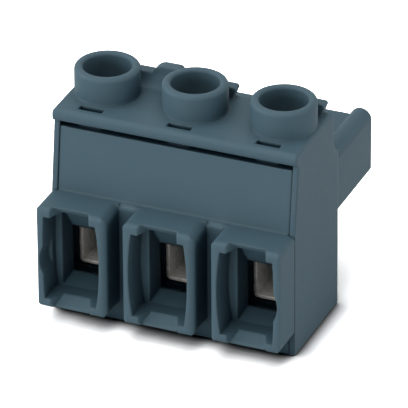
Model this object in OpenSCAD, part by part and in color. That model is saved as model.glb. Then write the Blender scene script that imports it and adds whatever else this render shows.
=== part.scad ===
// Three-pole plug-in screw terminal, the cable half of a board connector.
// X runs along the poles, -Y is the wire side, +Y the plug side, +Z the screw side.
// The origin is the centre of the footprint, on the flat base.

/* [Poles] */
// Distance between neighbouring poles
pitch = 10.16; // [10.12:0.02:10.2]
// Width of the housing across all poles
body_w = 28; // [27.8:0.1:28.2]

/* [Heights above the base] */
// Underside of the wire funnels
funnel_bottom_z = 2.4; // [2.3:0.05:2.5]
// Top of the wire funnels
funnel_top_z = 14.6; // [14.5:0.05:14.7]
// Underside of the plug wing
wing_bottom_z = 11.4; // [11.2:0.05:11.5]
// Shelf on top of the plug wing
wing_top_z = 17.63; // [17.55:0.01:17.75]
// Top deck that carries the screw collars
deck_z = 24; // [23.95:0.05:24.2]
// Rim of the screw collars
collar_top_z = 27.2; // [27:0.1:27.6]

/* [Depths from the seam between funnels and housing] */
// How far the funnels stand out in front of the seam
funnel_out = 4.3; // [4.2:0.05:4.5]
// Rear face of the tower below the wing
tower_back = 12.35; // [12.3:0.05:12.5]
// Rear face of the tower at the deck
deck_back = 10.95; // [10.9:0.05:11]
// Plug face of the wing
plug_face = 22.4; // [22.3:0.1:22.9]
// Axis of the clamping screws
axis_back = 6.43; // [6.42:0.01:6.44]

/* [Wire funnels] */
// Gap between two funnels
channel_w = 1.8; // [1.6:0.05:2]
// Inner width of the funnel mouth
mouth_w = 6; // [5.9:0.05:6.1]
// How far a mouth's side bows out at mid-height
mouth_bow = 0.4; // [0.3:0.05:0.5]
// Diameter of the round seat in an end funnel's outer side
seat_d = 7.08; // [6.9:0.02:7.1]
// Width of the wire hole
hole_w = 4.2; // [4.15:0.05:4.3]

/* [Screws and clamps] */
// Thread diameter of the clamping screw
screw_d = 4; // [3.96:0.01:4]
// Head diameter of the clamping screw
head_d = 5.6; // [5.5:0.02:5.64]
// Height of the screw head
head_h = 2.4; // [2.2:0.05:2.5]
// Screwdriver bore
driver_d = 5.3; // [5.2:0.02:5.4]
// Outer diameter of a screw collar
collar_d = 7.14; // [7:0.02:7.3]
// Sheet thickness of the clamp cage
cage_t = 0.4; // [0.36:0.01:0.42]
// Lift of the cage from open to shut
cage_lift = 5.4; // [5:0.1:5.4]

/* [Contacts] */
// Width of the contact strip
contact_w = 4; // [3.9:0.02:4.04]
// Thickness of the contact strip under the clamp
bar_t = 1.2; // [1.1:0.02:1.22]
// Thickness of the steel over-spring
spring_t = 0.3; // [0.25:0.01:0.32]

/* [Hidden] */
$fn = 48;

EPS = 0.01;
OVER = 1;                        // how far a cutting tool runs past a face
POLES = [-1, 0, 1];

// colours
PETROL = [0.30, 0.37, 0.40];
STEEL = [0.74, 0.75, 0.76];
ZINC = [0.80, 0.79, 0.74];
TIN = [0.83, 0.81, 0.76];
SPRING_STEEL = [0.62, 0.63, 0.65];

half_w = body_w / 2;
seam_y = (funnel_out - plug_face) / 2;   // centres the footprint's box on the origin

// tower
strip_w = 0.62;                  // front edges of the side walls beside the front
fit_gap = 0.08;                  // gap between housing and front
seam_gap = 0.12;                 // groove round the funnel block, in front of the side walls
lean = 1.0 / 7.9;                // slope of the upper front
lip_under_z = 22.55;
lip_r = 0.55;
lip_nose_y = 0.45;
deck_edge_r = 0.25;
cove_r = 2.2;                    // hollow curve from the tower down to the wing
cove_z = 20.85;                  // height of that curve's centre
base_r = 0.3;

// plug wing
wing_inset = 0.1;                // the wing is a little narrower than the tower
wing_overlap = 1;
rail_r = 1.2;
rail_top_z = wing_top_z + 0.97;

collar_rim_r = 0.45;
collar_mouth_r = 0.3;

// marker tabs and lug on the deck's rear edge
tab_foot_half = 2.85;
tab_top_half = 3.22;
tab_h = 1.35;
tab_t = 1.25;
tab_r = 0.3;
lug_x0 = -8.4;                   // out of sight behind the first collar
lug_x1 = -3.05;
lug_top_x0 = -5.0;
lug_h = 2.28;
lug_round = 1.5;
lug_r = 0.5;
lug_t = tab_t;
lug_cove = 1.5;

// latch windows in the deck, in front of the collars
latch_x0 = -1.3;
latch_x1 = 1.45;
latch_y0 = 1.5;
latch_y1 = 2.35;
latch_clear = 0.12;
latch_nose_z = 23.3;

// wire front
face_y = 0.1;                    // the closing plate's face behind the seam
plate_t = 1.4;
plate_top_z = 21.9;
plate_w = body_w - 2 * (strip_w + fit_gap);
channel_back = -0.6;             // floor of the channels between the funnels
channel_r = 0.6;
channel_edge_r = 0.7;            // upright front edges beside a channel
mouth_bottom_z = 3.5;
mouth_top_z = 13.5;
mouth_back = -0.8;
end_bow = 0.15;                  // bow of the outermost sides, which have the round seats
seat_z = 8.1;
seat_depth = 2.5;
taper_w = 4.8;                   // the taper starts inside a narrow shelf
taper_top_z = 13.3;
hole_bottom_z = 4.2;
hole_top_z = 9.65;
notch_half_w = 1.5;
notch_mouth_half_w = 2.3;
notch_edge = 0.46;               // notch depth at the outer edge of a rim
notch_inner = 1.75;              // notch depth at the inner edge of a rim
side_r = 0.3;                    // upright outer corners of the funnel block
rim_r = 0.5;
foot_r = 0.8;                    // rounded lower corners of the funnels
crown_r = 0.95;                  // rounded shoulder of a funnel beside a channel

// room between the wire hole and the cage
entry_half_w = 3.2;
entry_bottom_z = 2.7;
entry_top_z = 12.4;
entry_back = 4.05;

// clamp
cage_half_w = 2.55;
cage_in_half = cage_half_w - cage_t;
cage_front = 4.1;
cage_back = 2 * axis_back - cage_front;
cage_bottom_z = 3.75;
cage_floor_z = cage_bottom_z + cage_t;
bar_z = 9.75;                    // underside of the contact strip
nut_z = 11.5;
cage_top_z = 13.5;
cage_corner_r = 0.5;
thread_clear = 0.05;
fold_depth = 0.15;               // groove where the folded layers of the top meet
fold_gap = 0.1;

ledge_z = 19.0;
ledge_t = 0.8;
head_z = ledge_z + ledge_t + 0.1;
chamber_top_z = 22.6;
shaft_clear = 0.075;
head_clear = 0.1;
drive_w = 0.9;
drive_h = 1.2;
shank_end_z = bar_z + bar_t + 0.05;
tip_chamfer = 0.5;
head_chamfer = 0.2;

// cavities
cage_clear = 0.15;
cavity_bottom_z = 3.4;
cavity_back = 8.95;
riser_half_w = 2.15;
riser_bottom_z = 9.4;
riser_top_z = 16.6;
riser_back = 10.6;
chamber_w = 5.4;
chamber_z0 = 12.2;
chamber_z1 = 16.8;
chamber_end = 21.2;

// contact
contact_front = 4.3;
riser_front = 9.2;
arm_root = 10.4;                 // rear face of the riser, where the fork starts
plug_z = (chamber_z0 + chamber_z1) / 2;
arm_half = 1.6;                  // half height of the fork at its root
arm_t = 0.9;
tip_t = 0.8;
arm_bend = 13.8;
pinch_y = 19.4;
pinch_half = 0.45;
tip_half = 1.1;
arm_end = 20.9;
pin_w = 3.6;
pin_h = 2.2;
pin_chamfer = 0.4;

// over-spring
sleeve_front = 10.65;
sleeve_end = 13.6;
spring_gap = 0.03;
leaf_half_w = 1.6;
leaf_run = 0.7;

// rib that shuts the front of the screw's chamber
rib_half_w = 1.8;
rib_back = 3.45;
rib_z0 = head_z + 0.05;
rib_z1 = 21.7;

// Extrudes an outline drawn in Y and Z over the width w, centred on X.
module along_x(w) { rotate([90, 0, 90]) linear_extrude(height = w, center = true) children(); }

// Extrudes an outline drawn in X and Z from y0 to y1.
module along_y(y0, y1) {
    translate([0, y1, 0]) rotate([90, 0, 0]) linear_extrude(height = y1 - y0) children();
}

// Rectangle from the corner a to the corner b.
module rect(a, b) { translate(a) square([b[0] - a[0], b[1] - a[1]]); }

// Rectangle whose lower corners have the radius r0 and whose upper corners have r1.
module round_rect(a, b, r0, r1) {
    rect([a[0] + r0, a[1]], [b[0] - r0, a[1] + r0 + EPS]);
    rect([a[0] + r1, b[1] - r1 - EPS], [b[0] - r1, b[1]]);
    rect([a[0], a[1] + r0], [b[0], b[1] - r1]);
    for (x = [a[0] + r0, b[0] - r0]) translate([x, a[1] + r0]) circle(r0);
    for (x = [a[0] + r1, b[0] - r1]) translate([x, b[1] - r1]) circle(r1);
}

// Slot of width w and depth d, open upwards at y = 0, with both mouth edges rounded.
module flared_slot(w, r, d) {
    difference() {
        rect([-w / 2 - r, -d], [w / 2 + r, OVER]);
        for (s = [0, 1]) mirror([s, 0]) {
            rect([w / 2, -d - OVER], [w / 2 + r + OVER, -r]);
            translate([w / 2 + r, -r]) circle(r);
        }
    }
}

// Places its children at one pole; every depth is measured from the seam.
module at_pole(i) { translate([POLES[i] * pitch, seam_y, 0]) children(); }
module at_each_pole() { for (p = POLES) translate([p * pitch, 0, 0]) children(); }

// ---------------------------------------------------------------- housing

// Side view of the tower: flat base, leaning front edge, rounded lip, coved rear.
module tower_outline() {
    lip_y = lean * (lip_under_z - funnel_top_z);
    difference() {
        polygon([
            [0, 0], [tower_back - base_r, 0], [tower_back, base_r],
            [tower_back, cove_z], [deck_back, cove_z],
            [deck_back, deck_z - deck_edge_r], [deck_back - deck_edge_r, deck_z],
            [lip_nose_y + lip_r, deck_z], [lip_nose_y, deck_z - lip_r],
            [lip_nose_y, lip_under_z + lip_r], [lip_nose_y + lip_r, lip_under_z],
            [lip_y, lip_under_z], [0, funnel_top_z],
        ]);
        translate([deck_back + cove_r, cove_z]) circle(cove_r);
    }
    translate([tower_back - base_r, base_r]) circle(base_r);
    translate([deck_back - deck_edge_r, deck_z - deck_edge_r]) circle(deck_edge_r);
    translate([lip_nose_y + lip_r, deck_z - lip_r]) circle(lip_r);
    translate([lip_nose_y + lip_r, lip_under_z + lip_r]) circle(lip_r);
}

// Rear view of the plug wing: a shelf between two round-topped rails.
module wing_outline() {
    w = half_w - wing_inset;
    rect([-w, wing_bottom_z], [w, wing_top_z]);
    for (s = [0, 1]) mirror([s, 0]) {
        rect([w - 2 * rail_r, wing_bottom_z], [w, rail_top_z - rail_r]);
        translate([w - rail_r, rail_top_z - rail_r]) circle(rail_r);
    }
}

module collar() {
    r = collar_d / 2;
    rotate_extrude() {
        rect([0, deck_z - OVER], [r, collar_top_z - collar_rim_r]);
        rect([0, deck_z - OVER], [r - collar_rim_r, collar_top_z]);
        translate([r - collar_rim_r, collar_top_z - collar_rim_r]) circle(collar_rim_r);
    }
}

// The screwdriver bore with its rounded mouth.
module driver_bore() {
    m = driver_d / 2;
    translate([0, 0, chamber_top_z - EPS]) cylinder(h = collar_top_z, d = driver_d);
    rotate_extrude() difference() {
        rect([0, collar_top_z - collar_mouth_r], [m + collar_mouth_r, collar_top_z + EPS]);
        translate([m + collar_mouth_r, collar_top_z - collar_mouth_r]) circle(collar_mouth_r);
    }
}

// Flared tab at the deck's rear edge, on which a marker is pushed.
module marker_tab() {
    top_z = deck_z + tab_h;
    along_y(deck_back - tab_t, deck_back) {
        polygon([
            [-tab_foot_half, deck_z - deck_edge_r], [tab_foot_half, deck_z - deck_edge_r],
            [tab_foot_half, deck_z], [tab_top_half, top_z - tab_r], [tab_top_half - tab_r, top_z],
            [-tab_top_half + tab_r, top_z], [-tab_top_half, top_z - tab_r], [-tab_foot_half, deck_z],
        ]);
        for (s = [-1, 1]) translate([s * (tab_top_half - tab_r), top_z - tab_r]) circle(tab_r);
    }
}

// Lug between the first two poles: a shoulder level with the tabs, then a rounded crest.
module lug_outline() {
    foot_z = deck_z - deck_edge_r;
    top_z = deck_z + lug_h;
    rect([lug_x0, foot_z], [lug_x1, deck_z + tab_h]);
    rect([lug_top_x0, foot_z], [lug_x1 - lug_r, top_z]);
    rect([lug_top_x0, foot_z], [lug_x1, top_z - lug_r]);
    translate([lug_top_x0, top_z - lug_round]) circle(lug_round);
    translate([lug_x1 - lug_r, top_z - lug_r]) circle(lug_r);
}

// Side view of the lug, running up out of the deck in a hollow curve.
module lug() {
    top_z = deck_z + lug_h;
    front = deck_back - lug_t;
    intersection() {
        along_y(front - lug_cove, deck_back) lug_outline();
        translate([(lug_x0 + lug_x1) / 2, 0, 0]) along_x(lug_x1 - lug_x0 + OVER) difference() {
            rect([front - lug_cove, deck_z - OVER], [deck_back, top_z]);
            translate([front - lug_cove, deck_z + lug_cove]) circle(lug_cove);
            rect([front - lug_cove - OVER, deck_z + lug_cove], [front, top_z + OVER]);
        }
    }
}

module housing_shell() {
    intersection() {
        along_x(body_w) tower_outline();
        along_y(-OVER, tower_back + OVER)
            round_rect([-half_w, 0], [half_w, deck_z], EPS, deck_edge_r);
    }
    along_y(tower_back - wing_overlap, plug_face) wing_outline();
    at_each_pole() {
        translate([0, axis_back, 0]) collar();
        marker_tab();
    }
    lug();
}

// Room for the closing plate, open to the front.
module plate_room() {
    back = face_y + plate_t + fit_gap;
    along_x(plate_w + 2 * fit_gap) polygon([
        [-OVER, -OVER], [back, -OVER], [back, funnel_top_z],
        [back + lean * (lip_under_z - funnel_top_z), lip_under_z], [-OVER, lip_under_z],
    ]);
}

// Room between the wire hole and the cage, wider than the cage.
module entry_room() {
    along_y(face_y + plate_t, entry_back)
        rect([-entry_half_w, entry_bottom_z], [entry_half_w, entry_top_z]);
}

// Neck and chamber that hold the screw's head, open to the front for fitting.
module screw_room() {
    front = face_y + plate_t;
    neck_d = screw_d + 2 * shaft_clear;
    room_d = head_d + 2 * head_clear;
    room_z = ledge_z + ledge_t;
    translate([0, axis_back, ledge_z - EPS]) cylinder(h = ledge_t + 2 * EPS, d = neck_d);
    along_y(front, axis_back) rect([-neck_d / 2, ledge_z - EPS], [neck_d / 2, room_z + EPS]);
    translate([0, axis_back, room_z]) cylinder(h = chamber_top_z - room_z, d = room_d);
    along_y(front, axis_back) rect([-room_d / 2, room_z], [room_d / 2, chamber_top_z]);
}

// Four-sided chamfer round the pin mouth.
module pin_lead_in() {
    c = pin_chamfer + EPS;
    y0 = plug_face - pin_chamfer;
    y1 = plug_face + EPS;
    translate([0, 0, plug_z]) intersection() {
        linear_extrude(height = pin_h + 4 * c, center = true) polygon([
            [-pin_w / 2, y0], [pin_w / 2, y0], [pin_w / 2 + c, y1], [-pin_w / 2 - c, y1]]);
        along_x(pin_w + 4 * c) polygon([
            [y0, -pin_h / 2], [y1, -pin_h / 2 - c], [y1, pin_h / 2 + c], [y0, pin_h / 2]]);
    }
}

// Everything hollow at one pole, from the wire side to the plug face.
module pole_cavity() {
    cavity_half = cage_half_w + cage_clear;
    entry_room();
    along_y(face_y + plate_t, cavity_back) rect([-cavity_half, cavity_bottom_z], [cavity_half, ledge_z]);
    screw_room();
    translate([0, axis_back, 0]) driver_bore();
    translate([latch_x0, latch_y0, lip_under_z - EPS])
        cube([latch_x1 - latch_x0, latch_y1 - latch_y0, deck_z]);
    along_y(cavity_back - EPS, riser_back)
        rect([-riser_half_w, riser_bottom_z], [riser_half_w, riser_top_z]);
    along_y(arm_root, chamber_end) rect([-chamber_w / 2, chamber_z0], [chamber_w / 2, chamber_z1]);
    along_y(chamber_end - EPS, plug_face + OVER)
        rect([-pin_w / 2, plug_z - pin_h / 2], [pin_w / 2, plug_z + pin_h / 2]);
    pin_lead_in();
}

module housing() {
    color(PETROL) translate([0, seam_y, 0]) difference() {
        housing_shell();
        plate_room();
        at_each_pole() pole_cavity();
    }
}

// ---------------------------------------------------------------- wire front

// The closing plate: upright below the funnels' top, leaning back above it.
module closing_plate() {
    back = face_y + plate_t;
    shift = lean * (plate_top_z - funnel_top_z);
    along_x(plate_w) polygon([
        [face_y, 0], [back, 0], [back, funnel_top_z],
        [back + shift, plate_top_z], [face_y + shift, plate_top_z], [face_y, funnel_top_z],
    ]);
}

// Funnel block with all its outer edges rounded, just clear of the side walls' front edges.
module funnel_block() {
    intersection() {
        along_y(-funnel_out, face_y + EPS)
            round_rect([-half_w, funnel_bottom_z], [half_w, funnel_top_z], foot_r, rim_r);
        along_x(body_w + OVER)
            round_rect([-funnel_out, funnel_bottom_z], [funnel_out, funnel_top_z], rim_r, rim_r);
        linear_extrude(height = funnel_top_z + OVER) {
            round_rect([-half_w, -funnel_out], [half_w, -seam_gap], side_r, EPS);
            rect([-plate_w / 2, -funnel_out + side_r], [plate_w / 2, funnel_out]);
        }
    }
}

// One channel between two funnels, with the funnels' edges rounded into it.
module channel() {
    along_y(-funnel_out - OVER, channel_back) translate([0, funnel_top_z])
        flared_slot(channel_w, crown_r, funnel_top_z);
    along_y(-funnel_out - OVER, channel_back) translate([0, funnel_bottom_z])
        mirror([0, 1]) flared_slot(channel_w, foot_r, foot_r + OVER);
    translate([0, -funnel_out, 0]) linear_extrude(height = funnel_top_z + OVER)
        mirror([0, 1]) flared_slot(channel_w, channel_edge_r, funnel_out + channel_back);
    // rounded top edge of the channel's floor
    along_x(channel_w) difference() {
        rect([channel_back - EPS, funnel_top_z - channel_r], [channel_back + channel_r, funnel_top_z + EPS]);
        translate([channel_back + channel_r, funnel_top_z - channel_r]) circle(channel_r);
    }
}

// Sloping notch in the middle of an upper or lower rim, deepest at the mouth's inner edge.
module rim_notch(outer_z, inner_z) {
    s = sign(outer_z - inner_z);
    y0 = -funnel_out - OVER;
    slope = (notch_inner - notch_edge) / abs(outer_z - inner_z);
    z0 = min(outer_z, inner_z) - OVER;
    intersection() {
        translate([0, 0, z0]) linear_extrude(height = abs(outer_z - inner_z) + 2 * OVER) polygon([
            [-notch_mouth_half_w, y0], [notch_mouth_half_w, y0], [notch_mouth_half_w, -funnel_out],
            [notch_half_w, -funnel_out + notch_inner], [-notch_half_w, -funnel_out + notch_inner],
            [-notch_mouth_half_w, -funnel_out],
        ]);
        along_x(2 * notch_mouth_half_w + OVER) polygon([
            [y0, outer_z + s * OVER], [-funnel_out + notch_edge - slope * OVER, outer_z + s * OVER],
            [-funnel_out + notch_inner, inner_z], [-funnel_out + notch_inner, inner_z - s * EPS],
            [y0, inner_z - s * EPS],
        ]);
    }
}

// One side of the mouth's outline, bowed outwards by b at mid-height.
module mouth_side(b) {
    half_h = (mouth_top_z - mouth_bottom_z) / 2;
    r = (half_h * half_h + b * b) / (2 * b);
    intersection() {
        rect([-EPS, mouth_bottom_z], [mouth_w / 2 + b, mouth_top_z]);
        translate([mouth_w / 2 + b - r, mouth_bottom_z + half_h]) circle(r, $fn = 240);
    }
}

// Mouth of the pole p; the outermost sides have a round seat, the others a longer bow.
module mouth(p) {
    for (s = [-1, 1]) mirror([s < 0 ? 1 : 0, 0, 0]) {
        along_y(-funnel_out - OVER, mouth_back) mouth_side(s == p ? end_bow : mouth_bow);
        if (s == p) along_y(-funnel_out - OVER, -funnel_out + seat_depth) intersection() {
            translate([0, seat_z]) circle(d = seat_d);
            rect([0, mouth_bottom_z], [seat_d, mouth_top_z]);
        }
    }
}

// Mouth, four-sided taper and wire hole of the pole p.
module wire_entry(p) {
    t = taper_w / 2;
    h = hole_w / 2;
    back = face_y + plate_t;
    mouth(p);
    intersection() {
        linear_extrude(height = funnel_top_z) polygon([
            [-t, mouth_back - EPS], [t, mouth_back - EPS], [h, back + EPS], [-h, back + EPS]]);
        along_x(taper_w + OVER) polygon([
            [mouth_back - EPS, mouth_bottom_z], [back + EPS, hole_bottom_z],
            [back + EPS, hole_top_z], [mouth_back - EPS, taper_top_z]]);
    }
    rim_notch(funnel_top_z, mouth_top_z);
    rim_notch(funnel_bottom_z, mouth_bottom_z);
}

// Snap nose below a latch window, and the rib that keeps the screw in its chamber.
module plate_fittings() {
    along_y(latch_y0 + latch_clear, latch_y1 - latch_clear)
        rect([latch_x0 + latch_clear, plate_top_z - 0.2], [latch_x1 - latch_clear, latch_nose_z]);
    along_y(face_y + plate_t, rib_back) rect([-rib_half_w, rib_z0], [rib_half_w, rib_z1]);
}

module funnel_front() {
    color(PETROL) translate([0, seam_y, 0]) difference() {
        union() {
            closing_plate();
            funnel_block();
            at_each_pole() plate_fittings();
        }
        for (p = POLES) translate([p * pitch, 0, 0]) wire_entry(p);
        for (s = [-0.5, 0.5]) translate([s * pitch, 0, 0]) channel();
    }
}

// ---------------------------------------------------------------- clamp

module clamp_screw(i) {
    r = screw_d / 2;
    top_z = head_z + head_h;
    color(STEEL) at_pole(i) translate([0, axis_back, 0]) difference() {
        rotate_extrude() polygon([
            [0, shank_end_z], [r - tip_chamfer, shank_end_z], [r, shank_end_z + tip_chamfer],
            [r, head_z], [head_d / 2 - head_chamfer, head_z], [head_d / 2, head_z + head_chamfer],
            [head_d / 2, top_z - head_chamfer], [head_d / 2 - head_chamfer, top_z], [0, top_z],
        ]);
        translate([-drive_w / 2, -head_d, top_z - drive_h]) cube([drive_w, 2 * head_d, head_h]);
    }
}

// Sheet-metal clamp cage: a folded frame whose doubled top holds the thread.
module clamp_cage(i) {
    n = cage_in_half;
    fold_z = (nut_z + cage_top_z) / 2;
    color(ZINC) at_pole(i) difference() {
        along_y(cage_front, cage_back) difference() {
            round_rect([-cage_half_w, cage_bottom_z], [cage_half_w, cage_top_z],
                       cage_corner_r + cage_t, cage_t / 2);
            round_rect([-n, cage_floor_z], [n, nut_z], cage_corner_r, cage_t / 2);
            for (s = [0, 1]) mirror([s, 0])
                rect([cage_half_w - fold_depth, fold_z - fold_gap / 2],
                     [cage_half_w + EPS, fold_z + fold_gap / 2]);
        }
        translate([0, axis_back, nut_z - OVER])
            cylinder(h = cage_top_z - nut_z + 2 * OVER, d = screw_d + 2 * thread_clear);
    }
}

// ---------------------------------------------------------------- contact

// Tinned copper stamping: flat under the clamp, turned up and forked for the pin.
module contact(i) {
    color(TIN) at_pole(i) along_x(contact_w) polygon([
        [contact_front, bar_z], [arm_root, bar_z],
        [arm_root, plug_z - arm_half], [arm_bend, plug_z - arm_half],
        [pinch_y, plug_z - pinch_half - tip_t], [arm_end, plug_z - tip_half - tip_t],
        [arm_end, plug_z - tip_half], [pinch_y, plug_z - pinch_half],
        [arm_bend, plug_z - arm_half + arm_t], [arm_root, plug_z - arm_half + arm_t],
        [arm_root, plug_z + arm_half - arm_t], [arm_bend, plug_z + arm_half - arm_t],
        [pinch_y, plug_z + pinch_half], [arm_end, plug_z + tip_half],
        [arm_end, plug_z + tip_half + tip_t], [pinch_y, plug_z + pinch_half + tip_t],
        [arm_bend, plug_z + arm_half], [riser_front, plug_z + arm_half],
        [riser_front, bar_z + bar_t], [contact_front, bar_z + bar_t],
    ]);
}

// Side view of one leaf, from the sleeve to just past the narrowest place of the fork.
module leaf_outline() {
    z_in = arm_half + spring_gap;
    pinch_z = pinch_half + tip_t + spring_gap;
    end_z = pinch_z + leaf_run * (tip_half - pinch_half) / (arm_end - pinch_y);
    polygon([
        [sleeve_end - spring_t, z_in], [arm_bend, z_in], [pinch_y, pinch_z],
        [pinch_y + leaf_run, end_z], [pinch_y + leaf_run, end_z + spring_t],
        [pinch_y, pinch_z + spring_t], [arm_bend, z_in + spring_t],
        [sleeve_end - spring_t, z_in + spring_t],
    ]);
}

// Steel over-spring: a sleeve round the fork's root and two leaves that press its tips.
module over_spring(i) {
    z_in = arm_half + spring_gap;
    w_in = contact_w / 2 + spring_gap;
    color(SPRING_STEEL) at_pole(i) translate([0, 0, plug_z]) {
        along_y(sleeve_front, sleeve_end) difference() {
            rect([-w_in - spring_t, -z_in - spring_t], [w_in + spring_t, z_in + spring_t]);
            rect([-w_in, -z_in], [w_in, z_in]);
        }
        for (s = [0, 1]) mirror([0, 0, s]) along_x(2 * leaf_half_w) leaf_outline();
    }
}

housing();
funnel_front();
clamp_screw(0);  // clamp_screw_1
clamp_screw(1);  // clamp_screw_2
clamp_screw(2);  // clamp_screw_3
clamp_cage(0);  // clamp_cage_1
clamp_cage(1);  // clamp_cage_2
clamp_cage(2);  // clamp_cage_3
contact(0);  // contact_1
contact(1);  // contact_2
contact(2);  // contact_3
over_spring(0);  // over_spring_1
over_spring(1);  // over_spring_2
over_spring(2);  // over_spring_3
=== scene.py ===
"""A three-pole plug-in screw terminal: its looks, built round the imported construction.

The mouldings, contacts and springs are carried over and dressed. The clamping screws and the
clamp cages are modelled again with the detail that shows: a thread, a driving slot, folded sheet.
"""

from __future__ import annotations

import logging
import math
from collections.abc import Callable
from dataclasses import dataclass
from enum import Enum

import bmesh
import bpy
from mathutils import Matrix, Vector


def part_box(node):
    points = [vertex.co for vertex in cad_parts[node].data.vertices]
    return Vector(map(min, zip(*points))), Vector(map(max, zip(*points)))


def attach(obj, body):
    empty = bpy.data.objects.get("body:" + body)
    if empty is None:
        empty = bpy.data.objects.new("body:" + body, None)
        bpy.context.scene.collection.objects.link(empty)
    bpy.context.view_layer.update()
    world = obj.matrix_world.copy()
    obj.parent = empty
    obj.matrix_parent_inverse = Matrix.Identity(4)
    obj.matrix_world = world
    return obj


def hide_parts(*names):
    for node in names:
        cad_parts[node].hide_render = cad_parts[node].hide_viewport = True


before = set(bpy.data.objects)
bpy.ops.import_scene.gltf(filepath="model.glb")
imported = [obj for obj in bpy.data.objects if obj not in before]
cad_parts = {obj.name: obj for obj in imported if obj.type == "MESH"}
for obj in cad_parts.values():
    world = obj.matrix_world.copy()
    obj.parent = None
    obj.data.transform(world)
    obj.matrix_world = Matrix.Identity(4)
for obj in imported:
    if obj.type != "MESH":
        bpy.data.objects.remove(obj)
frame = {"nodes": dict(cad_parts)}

LOG = logging.getLogger("screw_terminal")
MM = 0.001
WHITE = (1.0, 1.0, 1.0, 1.0)
BLACK = (0.0, 0.0, 0.0, 1.0)
# The Mix node's sockets for colours: its factor, its two colours, and the output's number.
MIX_FACTOR, MIX_LOW, MIX_HIGH, MIX_OUT = 0, 6, 7, 2
# How near to an axis a face's normal lies for the face to count as lying across that axis.
ACROSS = 0.9


class Finish(Enum):
    """The finishes that the terminal's pieces can have."""

    MOULDED = "moulded_polyamide"
    ZINC = "zinc_plated_steel"
    SHEET = "bright_folded_sheet"
    TINNED = "tinned_copper"
    SPRING = "bare_spring_steel"


class Expr:
    """A shader socket that takes part in Python arithmetic by adding Math nodes."""

    def __init__(self, tree: bpy.types.NodeTree, socket: bpy.types.NodeSocket) -> None:
        """Keeps where the value comes from.

        Args:
            tree: The node tree that the socket is in.
            socket: The output socket that holds the value.
        """
        self.tree = tree
        self.socket = socket

    def _math(self, operation: str, left: object, right: object) -> Expr:
        """Adds one Math node.

        Args:
            operation: The Math node's operation.
            left: The first value, an Expr or a number.
            right: The second value, an Expr or a number.

        Returns:
            The node's result.
        """
        node = self.tree.nodes.new("ShaderNodeMath")
        node.operation = operation
        for slot, value in zip(node.inputs, (left, right)):
            if isinstance(value, Expr):
                self.tree.links.new(value.socket, slot)
            else:
                slot.default_value = float(value)
        return Expr(self.tree, node.outputs[0])

    def __add__(self, other: object) -> Expr:
        """Returns self + other."""
        return self._math("ADD", self, other)

    def __radd__(self, other: object) -> Expr:
        """Returns other + self."""
        return self._math("ADD", other, self)

    def __sub__(self, other: object) -> Expr:
        """Returns self - other."""
        return self._math("SUBTRACT", self, other)

    def __rsub__(self, other: object) -> Expr:
        """Returns other - self."""
        return self._math("SUBTRACT", other, self)

    def __mul__(self, other: object) -> Expr:
        """Returns self * other."""
        return self._math("MULTIPLY", self, other)

    def __rmul__(self, other: object) -> Expr:
        """Returns other * self."""
        return self._math("MULTIPLY", other, self)


class Nodes:
    """One node tree, emptied, with its output node."""

    def __init__(self, owner: bpy.types.Material | bpy.types.World, ending: str) -> None:
        """Empties the owner's node tree and adds its output node.

        Args:
            owner: The material or world that the tree belongs to.
            ending: The output node's type.
        """
        owner.use_nodes = True
        self.tree = owner.node_tree
        self.tree.nodes.clear()
        self.output = self.tree.nodes.new(ending)

    def node(self, kind: str, settings: dict | None = None, inputs: dict | None = None,
             out: object = 0) -> Expr:
        """Adds any other node.

        Args:
            kind: The node's type.
            settings: Attributes that are set first.
            inputs: Values or links of its sockets, by name or number.
            out: The output socket wanted, by name or number.

        Returns:
            The output socket as an Expr.
        """
        node = self.tree.nodes.new(kind)
        for key, value in (settings or {}).items():
            setattr(node, key, value)
        for key, value in (inputs or {}).items():
            if isinstance(value, Expr):
                self.tree.links.new(value.socket, node.inputs[key])
            else:
                node.inputs[key].default_value = value
        return Expr(self.tree, node.outputs[out])

    def show(self, surface: Expr) -> None:
        """Links what the tree ends in."""
        self.tree.links.new(surface.socket, self.output.inputs["Surface"])

    def seen(self) -> Expr:
        """Tells what shows from other light.

        Returns:
            1 for what the camera sees, also in metal and through glass, and 0 for other light.
        """
        rays = [self.node("ShaderNodeLightPath", None, None, f"Is {kind} Ray")
                for kind in ("Camera", "Glossy", "Transmission")]
        return self.node("ShaderNodeClamp", None, {"Value": rays[0] + rays[1] + rays[2]})


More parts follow.
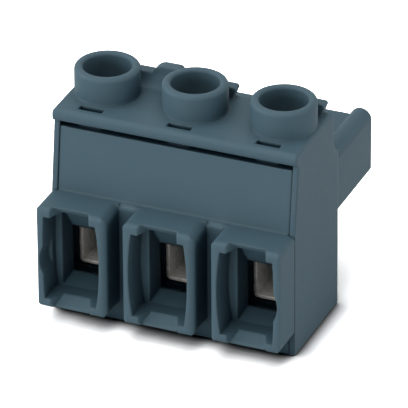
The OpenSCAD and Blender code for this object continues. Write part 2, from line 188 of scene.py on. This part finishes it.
class Shader(Nodes):
    """Builds one material round its main shader."""

    def __init__(self, name: str) -> None:
        """Makes the material with its main shader and its output.

        Args:
            name: The material's name.
        """
        self.material = bpy.data.materials.new(name)
        super().__init__(self.material, "ShaderNodeOutputMaterial")
        self.surface = self.tree.nodes.new("ShaderNodeBsdfPrincipled")
        self.show(Expr(self.tree, self.surface.outputs[0]))

    def mix(self, factor: object, low: object, high: object) -> Expr:
        """Returns a colour between low and high, which are colours or links, by factor."""
        inputs = {MIX_FACTOR: factor, MIX_LOW: low, MIX_HIGH: high}
        return self.node("ShaderNodeMix", {"data_type": "RGBA"}, inputs, MIX_OUT)

    def feed(self, socket: str, value: object) -> None:
        """Sets or links one socket of the main shader.

        Args:
            socket: The socket's name.
            value: An Expr to link, or a plain value to set.
        """
        if isinstance(value, Expr):
            self.tree.links.new(value.socket, self.surface.inputs[socket])
        else:
            self.surface.inputs[socket].default_value = value

    def bump(self, height: Expr, strength: float, distance: float, normal: Expr | None = None) -> None:
        """Feeds the shader's normal from a height.

        Args:
            height: The height, from 0 to 1.
            strength: How strongly it shows, from 0 to 1.
            distance: The height of a full step, in metres.
            normal: The normal that it starts from, if not the surface's own.
        """
        inputs = {"Strength": strength, "Distance": distance, "Height": height}
        if normal is not None:
            inputs["Normal"] = normal
        self.feed("Normal", self.node("ShaderNodeBump", None, inputs))

    def soft_edges(self, radius: float, rays: int = 4, gain: float = 6.0) -> tuple[Expr, Expr]:
        """Rounds the edges for the light.

        Args:
            radius: The rounding's radius in metres.
            rays: How many directions are tried.
            gain: How fast the mask rises as the normal leans away from the surface's own.

        Returns:
            The rounded normal, and a mask that is 0 on flats and rises at edges.
        """
        rounded = self.node("ShaderNodeBevel", {"samples": rays}, {"Radius": radius})
        surface = self.node("ShaderNodeNewGeometry", None, None, "Normal")
        along = self.node("ShaderNodeVectorMath", {"operation": "DOT_PRODUCT"},
                          {0: rounded, 1: surface}, "Value")
        return rounded, self.node("ShaderNodeClamp", None, {"Value": (1.0 - along) * gain})

    def open_air(self, reach: float, shut: float, clear: float, rays: int = 8) -> Expr:
        """Finds how open a place is.

        Args:
            reach: How far away other surfaces still count, in metres.
            shut: The open share at which the mask is 0.
            clear: The open share at which the mask is 1.
            rays: How many directions are tried.

        Returns:
            A mask from 0 deep in a recess to 1 out in the open.
        """
        share = self.node("ShaderNodeAmbientOcclusion", {"samples": rays}, {"Distance": reach}, "AO")
        return self.node("ShaderNodeMapRange", None, {"Value": share, "From Min": shut, "From Max": clear})

    def within(self, low: Vector, high: Vector) -> Expr:
        """Finds a box-shaped part of the piece.

        Args:
            low: The box's lowest corner, in the piece's own coordinates.
            high: Its highest corner.

        Returns:
            A mask that is 1 in the box and 0 outside it.
        """
        coords = self.node("ShaderNodeTexCoord", None, None, "Object")
        mask = 1.0
        for i, axis in enumerate("XYZ"):
            along = self.node("ShaderNodeSeparateXYZ", None, {"Vector": coords}, axis)
            middle, half = (low[i] + high[i]) / 2, (high[i] - low[i]) / 2
            mask = mask * self.node("ShaderNodeMath", {"operation": "COMPARE"},
                                    {0: along, 1: middle, 2: half})
        return mask

    def place(self, scale: tuple = (1.0, 1.0, 1.0), turn: tuple = (0.0, 0.0, 0.0)) -> Expr:
        """Returns Object coordinates, turned in radians and stretched by scale along X, Y and Z."""
        coords = self.node("ShaderNodeTexCoord", None, None, "Object")
        return self.node("ShaderNodeMapping", None, {"Vector": coords, "Rotation": turn, "Scale": scale})

    def noise(self, scale: float, detail: float = 2.0, stretch: tuple = (1.0, 1.0, 1.0),
              turn: tuple = (0.0, 0.0, 0.0)) -> Expr:
        """Adds a noise texture.

        Args:
            scale: How many features it has in a metre.
            detail: How much finer detail it has.
            stretch: How much finer it is along X, Y and Z.
            turn: The pattern's rotation in radians.

        Returns:
            The noise, from 0 to 1.
        """
        return self.node("ShaderNodeTexNoise", None,
                         {"Vector": self.place(stretch, turn), "Scale": scale, "Detail": detail})


@dataclass(frozen=True)
class MouldedPlastic:
    """Blue-grey moulded polyamide with a fine spark-eroded texture and softly broken edges.

    Its colour falls to the recess colour, a painted shade, where other surfaces close it in. Three boxes
    change
    that painted shade: the gap under the deck's lip is always painted in deep shade, the deck's top side is
    only a little darkened, and the strip along the tabs isn't darkened.
    """

    body: tuple = (0.050, 0.094, 0.121, 1.0)
    cloud: tuple = (0.060, 0.108, 0.137, 1.0)
    # painted highlight: a lighter colour on the edges, standing in for light caught by the rounded edges
    edge: tuple = (0.100, 0.158, 0.188, 1.0)
    # painted shade: the dark colour that closed-in places take, in place of the shade that falls in recesses,
    # gaps and corners
    recess: tuple = (0.009, 0.027, 0.041, 1.0)
    roughness: float = 0.54
    specular: float = 0.2
    flow_per_m: float = 170.0
    flow_stretch: tuple = (1.0, 1.0, 0.45)
    flow_share: float = 0.6
    mottle_per_m: float = 1900.0
    grain_per_m: float = 11000.0
    grain_strength: float = 0.14
    grain_depth: float = 0.03 * MM
    edge_r: float = 0.42 * MM
    recess_reach: float = 7.0 * MM
    recess_shut: float = 0.28
    recess_clear: float = 0.55
    # painted shade: this box, the gap under the deck's lip, is always given the full recess colour
    gap: tuple = (Vector((-12.45, -10.2, 21.85)) * MM, Vector((12.45, -6.5, 22.6)) * MM)
    above_deck: tuple = (Vector((-14, -9, 24.05)) * MM, Vector((14, 13, 30)) * MM)
    above_relief: float = 0.85
    by_tabs: tuple = (Vector((-14, 0.45, 23.95)) * MM, Vector((14, 2, 30)) * MM)

    def build(self) -> bpy.types.Material:
        """Makes the plastic.

        Returns:
            The material.
        """
        sh = Shader(Finish.MOULDED.value)
        normal, edges = sh.soft_edges(self.edge_r)
        flow = sh.noise(self.flow_per_m, 3.0, self.flow_stretch)
        mottle = sh.noise(self.mottle_per_m, 4.0)
        grain = sh.noise(self.grain_per_m, 2.0)
        cloudy = flow * self.flow_share + mottle * (1.0 - self.flow_share)
        base = sh.mix(cloudy, self.body, self.cloud)
        # painted highlight: the colour turns lighter where the edge mask rises, more or less at random by the
        # mottle
        painted_edge_highlight = sh.mix(edges * (0.25 + 0.5 * mottle), base, self.edge)
        sh.feed("Base Color", sh.mix(self._shade(sh), self.recess, painted_edge_highlight))
        sh.feed("Roughness", self.roughness - 0.06 + 0.14 * mottle - 0.08 * edges)
        sh.feed("Specular IOR Level", self.specular)
        sh.bump(grain, self.grain_strength, self.grain_depth, normal)
        return sh.material

    def _shade(self, sh: Shader) -> Expr:
        """Finds how far out of the recesses a place lies.

        Args:
            sh: The material that is being built.

        Returns:
            A mask from 0 deep in a recess to 1 in the open.
        """
        # painted shade: an occlusion mask sets how far the colour falls to the recess colour, and the gap box
        # is fully shaded
        shut = 1.0 - sh.open_air(self.recess_reach, self.recess_shut, self.recess_clear)
        above, beside = sh.within(*self.above_deck), sh.within(*self.by_tabs)
        shut = shut * (1.0 - above * self.above_relief) * (1.0 - beside)
        return (1.0 - shut) * (1.0 - sh.within(*self.gap))


@dataclass(frozen=True)
class PlatedMetal:
    """A plated or bare metal with rolling or turning marks along one direction."""

    finish: Finish
    light: tuple
    dark: tuple
    roughness: float
    marks: tuple = (1.0, 1.0, 18.0)
    smudge: float = 0.5
    metallic: float = 1.0
    tilt: tuple = (0.0, 0.0, 0.0)
    edge_r: float = 0.05 * MM
    # painted highlight: near-white colour on the edges, standing in for light that the edges catch
    edge: tuple = (0.95, 0.94, 0.92, 1.0)
    stain_per_m: float = 430.0
    streak_per_m: float = 1300.0
    scratch_per_m: float = 5200.0
    scratch_strength: float = 0.10
    scratch_depth: float = 0.02 * MM
    mark_low: float = 0.32
    mark_high: float = 0.66

    def build(self) -> bpy.types.Material:
        """Makes the metal.

        Returns:
            The material.
        """
        sh = Shader(self.finish.value)
        normal, edges = sh.soft_edges(self.edge_r)
        stain = sh.noise(self.stain_per_m, 4.0)
        streak = sh.noise(self.streak_per_m, 3.0, self.marks, self.tilt)
        scratch = sh.noise(self.scratch_per_m, 2.0, self.marks, self.tilt)
        marked = stain * self.smudge + streak * (1.0 - self.smudge)
        mask = sh.node("ShaderNodeMapRange", None,
                       {"Value": marked, "From Min": self.mark_low, "From Max": self.mark_high})
        base = sh.mix(mask, self.dark, self.light)
        # painted highlight: the colour turns near-white where the edge mask rises
        sh.feed("Base Color", sh.mix(edges, base, self.edge))
        sh.feed("Metallic", self.metallic)
        sh.feed("Roughness", self.roughness + 0.18 * streak - 0.10 * edges)
        sh.bump(scratch, self.scratch_strength, self.scratch_depth, normal)
        return sh.material


FINISHES = {
    Finish.ZINC: PlatedMetal(Finish.ZINC, (0.78, 0.78, 0.76, 1), (0.50, 0.50, 0.48, 1), 0.26),
    Finish.SHEET: PlatedMetal(Finish.SHEET, (0.97, 0.95, 0.91, 1), (0.52, 0.48, 0.43, 1), 0.24,
                              (1.0, 6.0, 1.0), 0.40, 0.20, (0.8, 0.0, 0.0), 0.08 * MM),
    Finish.TINNED: PlatedMetal(Finish.TINNED, (0.80, 0.77, 0.70, 1), (0.58, 0.54, 0.46, 1), 0.30),
    Finish.SPRING: PlatedMetal(Finish.SPRING, (0.60, 0.61, 0.63, 1), (0.38, 0.39, 0.41, 1), 0.32,
                               (1.0, 14.0, 1.0)),
}


class Bench:
    """The few hand tools that the pieces share, all working on what is selected in code."""

    @staticmethod
    def clear() -> None:
        """Leaves edit mode and selects nothing."""
        if bpy.context.object and bpy.context.object.mode != "OBJECT":
            bpy.ops.object.mode_set(mode="OBJECT")
        bpy.ops.object.select_all(action="DESELECT")

    @staticmethod
    def pick(obj: bpy.types.Object) -> None:
        """Makes an object the only selected one and the active one.

        Args:
            obj: The object.
        """
        Bench.clear()
        obj.select_set(True)
        bpy.context.view_layer.objects.active = obj

    @staticmethod
    def select(obj: bpy.types.Object, kind: str, test: Callable[[object], bool]) -> None:
        """Selects the faces or edges of an object in edit mode that pass a test, and no others.

        Args:
            obj: The object in edit mode.
            kind: "faces" or "edges".
            test: A function of one face or edge that says whether it is wanted.
        """
        bpy.ops.mesh.select_mode(type="FACE" if kind == "faces" else "EDGE")
        bpy.ops.mesh.select_all(action="DESELECT")
        mesh = bmesh.from_edit_mesh(obj.data)
        for part in getattr(mesh, kind):
            if test(part):
                part.select_set(True)
        mesh.select_flush_mode()
        bmesh.update_edit_mesh(obj.data)

    @staticmethod
    def settle(obj: bpy.types.Object, angle: float) -> None:
        """Puts an object's place into its mesh and smooths its shading.

        Args:
            obj: The object.
            angle: The angle in degrees above which an edge stays sharp.
        """
        Bench.pick(obj)
        bpy.ops.object.transform_apply(location=True, rotation=True, scale=True)
        bpy.ops.object.shade_smooth_by_angle(angle=math.radians(angle))

    @staticmethod
    def modify(obj: bpy.types.Object, kind: str, **settings: object) -> None:
        """Adds one modifier and applies it.

        Args:
            obj: The object.
            kind: The modifier's type.
            settings: Its settings, by name.
        """
        Bench.pick(obj)
        mod = obj.modifiers.new(kind.lower(), kind)
        for key, value in settings.items():
            setattr(mod, key, value)
        bpy.ops.object.modifier_apply(modifier=mod.name)

    @staticmethod
    def break_edges(obj: bpy.types.Object, width: float, segments: int, angle: float) -> None:
        """Bevels the sharp edges of an object.

        Args:
            obj: The object.
            width: The bevel's width.
            segments: How many strips it has.
            angle: The angle in degrees above which an edge counts as sharp.
        """
        Bench.modify(obj, "BEVEL", width=width, segments=segments, limit_method="ANGLE",
                     angle_limit=math.radians(angle))

    @staticmethod
    def block(low: Vector, high: Vector) -> bpy.types.Object:
        """Adds a cuboid.

        Args:
            low: Its lowest corner.
            high: Its highest corner.

        Returns:
            The cuboid, its place in its mesh.
        """
        Bench.clear()
        bpy.ops.mesh.primitive_cube_add(size=1.0, location=(low + high) / 2, scale=high - low)
        bpy.ops.object.transform_apply(location=True, rotation=True, scale=True)
        return bpy.context.object

    @staticmethod
    def rod(centre: Vector, radius: float, length: float, sides: int = 72,
            along: str = "Z") -> bpy.types.Object:
        """Adds a round bar.

        Args:
            centre: The bar's middle.
            radius: Its radius.
            length: Its length.
            sides: How many sides it has.
            along: The axis that it lies along, "X" or "Z".

        Returns:
            The bar, its place in its mesh.
        """
        Bench.clear()
        turn = (0.0, math.pi / 2 if along == "X" else 0.0, 0.0)
        bpy.ops.mesh.primitive_cylinder_add(vertices=sides, radius=radius, depth=length, location=centre,
                                            rotation=turn)
        bpy.ops.object.transform_apply(location=True, rotation=True, scale=True)
        return bpy.context.object

    @staticmethod
    def carve(obj: bpy.types.Object, tool: bpy.types.Object) -> None:
        """Cuts a tool out of an object and throws the tool away."""
        Bench.modify(obj, "BOOLEAN", operation="DIFFERENCE", object=tool, solver="EXACT")
        bpy.data.objects.remove(tool)

    @staticmethod
    def join(parts: list[bpy.types.Object], name: str) -> bpy.types.Object:
        """Makes one object of several.

        Args:
            parts: The objects, the first of which stays.
            name: The new object's name.

        Returns:
            The joined object.
        """
        Bench.pick(parts[0])
        for part in parts[1:]:
            part.select_set(True)
        bpy.ops.object.join()
        parts[0].name = parts[0].data.name = name
        return parts[0]

    @staticmethod
    def twin(obj: bpy.types.Object, shift: Vector, name: str) -> bpy.types.Object:
        """Copies an object with its own mesh.

        Args:
            obj: The object.
            shift: How far the copy is moved.
            name: The copy's name.

        Returns:
            The copy, its place in its mesh.
        """
        Bench.pick(obj)
        bpy.ops.object.duplicate(linked=False)
        copy = bpy.context.object
        copy.name = copy.data.name = name
        copy.location = shift
        bpy.ops.object.transform_apply(location=True, rotation=True, scale=True)
        return copy


@dataclass
class Clamp:
    """What the two moving pieces of a pole have in common: they are made once and copied."""

    node: str
    title: str
    body: str
    slot: str
    finish: Finish
    poles: int = 3
    smooth_angle: float = 32.0

    def build(self) -> list[bpy.types.Object]:
        """Makes the first pole's piece, copies it to the others and sets each on its body.

        Returns:
            The finished piece of every pole.
        """
        first = self.model()
        Bench.settle(first, self.smooth_angle)
        first.data.materials.clear()
        first.data.materials.append(bpy.data.materials[self.finish.value])
        home = self.corners(1)[0]
        pieces = [first] + [Bench.twin(first, self.corners(index)[0] - home, f"{self.title}_{index}")
                            for index in range(2, self.poles + 1)]
        for index, piece in enumerate(pieces, start=1):
            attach(piece, f"{self.body}_{index}")
            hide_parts(f"{self.node}_{index}")
        return pieces

    def corners(self, index: int = 1) -> tuple[Vector, Vector]:
        """Returns the lowest and highest corner of the construction piece at one pole."""
        low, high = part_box(f"{self.node}_{index}")
        return Vector(low), Vector(high)

    def model(self) -> bpy.types.Object:
        """Returns the first pole's piece, before it is dressed."""
        raise NotImplementedError


@dataclass
class ClampScrew(Clamp):
    """A clamping screw with a slotted head and a real thread."""

    node: str = "clamp_screw"
    title: str = "threaded_screw"
    body: str = "screw"
    slot: str = "screw_steel"
    finish: Finish = Finish.ZINC
    pitch: float = 0.7 * MM
    thread_depth: float = 0.40 * MM
    thread_root: float = 0.31 * MM
    thread_r: float = 2.0 * MM
    thread_steps: int = 40
    core_sink: float = 0.03 * MM
    neck_h: float = 1.1 * MM
    neck_chamfer: float = 0.2 * MM
    tip_chamfer: float = 0.45 * MM
    head_h: float = 2.4 * MM
    head_chamfer: float = 0.22 * MM
    slot_w: float = 0.9 * MM
    slot_h: float = 1.2 * MM
    sharp: float = 60.0
    near: float = 0.01 * MM

    def model(self) -> bpy.types.Object:
        """Makes the screw from its head, its shank and its thread.

        Returns:
            The screw of the first pole.
        """
        low, high = self.corners()
        axis = (low + high) / 2
        parts = [self._head(axis, high), self._core(axis, low.z, high.z - self.head_h),
                 self._ridge(axis, low.z + self.tip_chamfer, high.z - self.head_h - self.neck_h)]
        return Bench.join(parts, f"{self.title}_1")

    def _head(self, axis: Vector, high: Vector) -> bpy.types.Object:
        """Returns the round chamfered head with its driving slot.

        Args:
            axis: A point on the screw's axis.
            high: The highest corner of the screw.

        Returns:
            The head.
        """
        middle = Vector((axis.x, axis.y, high.z - self.head_h / 2))
        head = Bench.rod(middle, high.x - axis.x, self.head_h)
        Bench.break_edges(head, self.head_chamfer, 3, self.sharp)
        reach = Vector((self.slot_w / 2, self.head_h * 2, self.slot_h))
        top = Vector((axis.x, axis.y, high.z))
        Bench.carve(head, Bench.block(top - reach, top + reach))
        return head

    def _core(self, axis: Vector, bottom: float, top: float) -> bpy.types.Object:
        """Returns the plain shank inside the thread.

        Args:
            axis: A point on the screw's axis.
            bottom: The height of the tip.
            top: The height of the head's underside.

        Returns:
            The shank, with a turned cone at its tip and a full-width neck at its top.
        """
        radius = self.thread_r - self.thread_depth
        shank = Bench.rod(Vector((axis.x, axis.y, (bottom + top) / 2)), radius, top - bottom)
        bpy.ops.object.mode_set(mode="EDIT")
        Bench.select(shank, "faces", lambda face: face.normal.z < -ACROSS)
        bpy.ops.mesh.inset(thickness=self.tip_chamfer)
        Bench.select(shank, "edges", lambda edge: all(v.co.z < bottom + self.near for v in edge.verts)
                     and all((v.co.xy - axis.xy).length > radius - self.near for v in edge.verts))
        bpy.ops.transform.translate(value=(0.0, 0.0, self.tip_chamfer))
        bpy.ops.object.mode_set(mode="OBJECT")
        neck = Bench.rod(Vector((axis.x, axis.y, top - self.neck_h / 2)), self.thread_r, self.neck_h)
        Bench.break_edges(neck, self.neck_chamfer, 2, self.sharp)
        return Bench.join([shank, neck], "shank")

    def _ridge(self, axis: Vector, bottom: float, top: float) -> bpy.types.Object:
        """Returns the thread's ridge, a triangle run up a helix.

        Args:
            axis: A point on the screw's axis.
            bottom: The height at which the thread starts.
            top: The height at which it ends.

        Returns:
            The closed ridge.
        """
        # A three-sided circle is one and a half times as deep as its radius.
        size = (self.thread_depth + self.core_sink) / 1.5
        Bench.clear()
        bpy.ops.mesh.primitive_circle_add(
            vertices=3, radius=1.0, fill_type="NOTHING", rotation=(math.pi / 2, math.pi / 2, 0.0),
            location=(axis.x + self.thread_r - size, axis.y, bottom))
        ridge = bpy.context.object
        ridge.scale = (self.thread_root / math.sin(math.pi / 3), size, 1.0)
        bpy.ops.object.transform_apply(location=True, rotation=True, scale=True)
        bpy.context.scene.cursor.location = (axis.x, axis.y, 0.0)
        bpy.ops.object.origin_set(type="ORIGIN_CURSOR")
        Bench.modify(ridge, "SCREW", axis="Z", angle=2 * math.pi, screw_offset=self.pitch,
                     iterations=int((top - bottom) / self.pitch), steps=self.thread_steps,
                     render_steps=self.thread_steps, use_merge_vertices=False)
        bpy.ops.object.mode_set(mode="EDIT")
        bpy.ops.mesh.select_all(action="SELECT")
        bpy.ops.mesh.fill_holes(sides=3)
        bpy.ops.mesh.select_all(action="SELECT")
        bpy.ops.mesh.normals_make_consistent(inside=False)
        bpy.ops.object.mode_set(mode="OBJECT")
        Bench.pick(ridge)
        bpy.ops.object.transform_apply(location=True, rotation=True, scale=True)
        return ridge


@dataclass
class ClampCage(Clamp):
    """A clamp cage of folded sheet, its top built up in layers round the threaded hole."""

    node: str = "clamp_cage"
    title: str = "folded_cage"
    body: str = "cage"
    slot: str = "cage_steel"
    finish: Finish = Finish.SHEET
    sheet: float = 0.4 * MM
    layers: int = 4
    layer_gap: float = 0.02 * MM
    fold_r: float = 0.50 * MM
    top_r: float = 0.3 * MM
    burr: float = 0.05 * MM
    hole_r: float = 2.05 * MM
    punch_r: float = 0.2 * MM
    punch_z: float = 5.6 * MM
    sharp: float = 50.0

    def model(self) -> bpy.types.Object:
        """Makes the cage from its frame and its layers.

        Returns:
            The cage of the first pole.
        """
        low, high = self.corners()
        parts = [self._frame(low, high), self._stack(low, high)]
        return Bench.join(parts, f"{self.title}_1")

    def _frame(self, low: Vector, high: Vector) -> bpy.types.Object:
        """Returns the sheet folded round, open to the front and the back.

        Args:
            low: The cage's lowest corner.
            high: Its highest corner.

        Returns:
            The frame with its hole and its punched side.
        """
        frame_sheet = Bench.block(low, high)
        bpy.ops.object.mode_set(mode="EDIT")
        Bench.select(frame_sheet, "faces", lambda face: abs(face.normal.y) > ACROSS)
        bpy.ops.mesh.delete(type="ONLY_FACE")
        middle = (low.z + high.z) / 2
        for below, radius, cuts in ((True, self.fold_r, 8), (False, self.top_r, 4)):
            Bench.select(frame_sheet, "edges", lambda edge: (edge.verts[0].co.z < middle) == below
                         and abs(edge.verts[0].co.y - edge.verts[1].co.y) > self.sheet)
            bpy.ops.mesh.bevel(offset=radius, segments=cuts, affect="EDGES")
        bpy.ops.object.mode_set(mode="OBJECT")
        Bench.modify(frame_sheet, "SOLIDIFY", thickness=self.sheet, offset=-1.0, use_even_offset=True)
        Bench.break_edges(frame_sheet, self.burr, 2, self.sharp)
        centre = (low + high) / 2
        Bench.carve(frame_sheet, Bench.rod(Vector((centre.x, centre.y, high.z)), self.hole_r, self.sheet * 3))
        Bench.carve(frame_sheet, Bench.rod(Vector((low.x, centre.y, low.z + self.punch_z)), self.punch_r,
                                           self.sheet * 3, 24, "X"))
        return frame_sheet

    def _stack(self, low: Vector, high: Vector) -> bpy.types.Object:
        """Returns the folded layers under the top that carry the thread.

        Args:
            low: The cage's lowest corner.
            high: Its highest corner.

        Returns:
            The layers, each with its hole.
        """
        inset = Vector((self.sheet, 0.0, 0.0))
        top = high.z - self.sheet - self.layer_gap
        first = Bench.block(Vector((low.x, low.y, top - self.sheet + self.layer_gap)) + inset,
                            Vector((high.x, high.y, top)) - inset)
        Bench.break_edges(first, self.burr, 2, self.sharp)
        centre = (low + high) / 2
        Bench.carve(first, Bench.rod(Vector((centre.x, centre.y, top)), self.hole_r, self.sheet * 4))
        Bench.modify(first, "ARRAY", count=self.layers, use_relative_offset=False, use_constant_offset=True,
                     constant_offset_displace=(0.0, 0.0, -self.sheet))
        return first


@dataclass
class Terminal:
    """The whole terminal: its carried-over pieces and the ones modelled again."""

    nodes: dict

    def dress(self) -> None:
        """Gives every carried-over piece its finish."""
        by_start = {
            "housing": Finish.MOULDED, "funnel_front": Finish.MOULDED, "clamp_screw": Finish.ZINC,
            "clamp_cage": Finish.SHEET, "contact": Finish.TINNED, "over_spring": Finish.SPRING,
        }
        for name, obj in self.nodes.items():
            finish = next(f for start, f in by_start.items() if name.startswith(start))
            obj.data.materials.clear()
            obj.data.materials.append(bpy.data.materials[finish.value])
            LOG.info("dressed %s as %s", name, finish.value)

    def build(self) -> None:
        """Makes the finishes, dresses the construction and adds the detailed pieces."""
        MouldedPlastic().build()
        for finish in FINISHES.values():
            finish.build()
        self.dress()
        for clamp in (ClampScrew(), ClampCage()):
            for piece in clamp.build():
                LOG.info("built %s with %d faces", piece.name, len(piece.data.polygons))


@dataclass(frozen=True)
class Lamp:
    """One large soft lamp that points at the object."""

    name: str
    place: tuple
    size: float
    power: float

    def build(self) -> None:
        """Adds the lamp."""
        bpy.ops.object.light_add(type="AREA", location=self.place)
        lamp = bpy.context.object
        lamp.name = f"lamp_{self.name}"
        lamp.data.size = self.size
        lamp.data.energy = self.power
        lamp.rotation_euler = (-Vector(self.place)).to_track_quat("-Z", "Y").to_euler()


LAMPS = (
    Lamp("top", (-0.05, 0.12, 0.60), 0.50, 1.45),
    Lamp("crown", (0.0, -0.30, 0.58), 0.40, 1.20),
    Lamp("shoulder", (-0.42, -0.38, 0.40), 0.40, 0.60),
    Lamp("right", (0.62, 0.05, 0.20), 0.40, 1.40),
    Lamp("left", (-0.60, -0.20, 0.30), 0.40, 2.20),
    Lamp("front", (-0.05, -0.65, 0.06), 0.30, 2.00),
)


@dataclass
class Studio:
    """The white floor, the soft lamps and the camera."""

    azimuth: float = 22.08
    elevation: float = 28.66
    lens: float = 534.1
    stand: tuple = (0.22094, -0.52378, 0.32952)
    shift: tuple = (-0.1827, -0.1581)
    sensor: float = 36.0
    clip: tuple = (0.05, 10.0)
    ambient: float = 0.04
    floor_colour: float = 0.80
    floor_seen: float = 2.6
    floor_mirrored: float = 1.0
    floor_size: float = 3.0
    floor_drop: float = 0.02 * MM
    shadow_reach: float = 2.6 * MM
    shadow_shut: float = 0.50
    shadow_clear: float = 0.98
    shadow_rays: int = 32

    def build(self) -> None:
        """Sets up the floor, the light, the world and the camera."""
        scene = bpy.context.scene
        scene.view_settings.view_transform = "Standard"
        self._floor()
        for lamp in LAMPS:
            lamp.build()
        self._world(scene)
        self._camera(scene)

    def _floor(self) -> None:
        """Adds a plain floor that shows white and keeps the object's shadow."""
        Bench.clear()
        bpy.ops.mesh.primitive_plane_add(size=self.floor_size, location=(0.0, 0.0, -self.floor_drop))
        floor = bpy.context.object
        floor.name = "studio_floor"
        sh = Shader("studio_floor")
        plain, mirrored, seen = ((level, level, level, 1.0)
                                 for level in (self.floor_colour, self.floor_mirrored, self.floor_seen))
        # painted shadow: an occlusion mask takes the floor's seen colour to black near the object's foot, a
        # painted contact shadow added to the lamps' own shadow
        clear = sh.open_air(self.shadow_reach, self.shadow_shut, self.shadow_clear, self.shadow_rays)
        contact = sh.mix(clear, BLACK, seen)
        direct = sh.node("ShaderNodeLightPath", None, None, "Is Camera Ray")
        sh.feed("Base Color", sh.mix(direct, sh.mix(sh.seen(), plain, mirrored), contact))
        sh.feed("Roughness", 1.0)
        sh.feed("Specular IOR Level", 0.0)
        floor.data.materials.append(sh.material)

    def _world(self, scene: bpy.types.Scene) -> None:
        """Lights the scene softly and shows white behind it.

        Args:
            scene: The scene.
        """
        world = bpy.data.worlds.new("studio")
        scene.world = world
        nodes = Nodes(world, "ShaderNodeOutputWorld")
        soft, white = (nodes.node("ShaderNodeBackground", None, {"Color": WHITE, "Strength": strength})
                       for strength in (self.ambient, 1.0))
        nodes.show(nodes.node("ShaderNodeMixShader", None, {0: nodes.seen(), 1: soft, 2: white}))

    def _camera(self, scene: bpy.types.Scene) -> None:
        """Adds the camera at the viewing angle.

        Args:
            scene: The scene.
        """
        a, e = math.radians(self.azimuth), math.radians(self.elevation)
        back = Vector((math.sin(a) * math.cos(e), -math.cos(a) * math.cos(e), math.sin(e)))
        bpy.ops.object.camera_add(location=self.stand)
        camera = bpy.context.object
        camera.name = "camera"
        camera.rotation_euler = (-back).to_track_quat("-Z", "Y").to_euler()
        camera.data.sensor_width = self.sensor
        camera.data.lens = self.lens
        camera.data.shift_x, camera.data.shift_y = self.shift
        camera.data.clip_start, camera.data.clip_end = self.clip
        scene.camera = camera


def main() -> None:
    """Builds everything round the loaded frame."""
    logging.basicConfig(level=logging.INFO, format="%(name)s: %(message)s")
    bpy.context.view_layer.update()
    Terminal(frame["nodes"]).build()
    Studio().build()


if __name__ == "__main__":
    main()
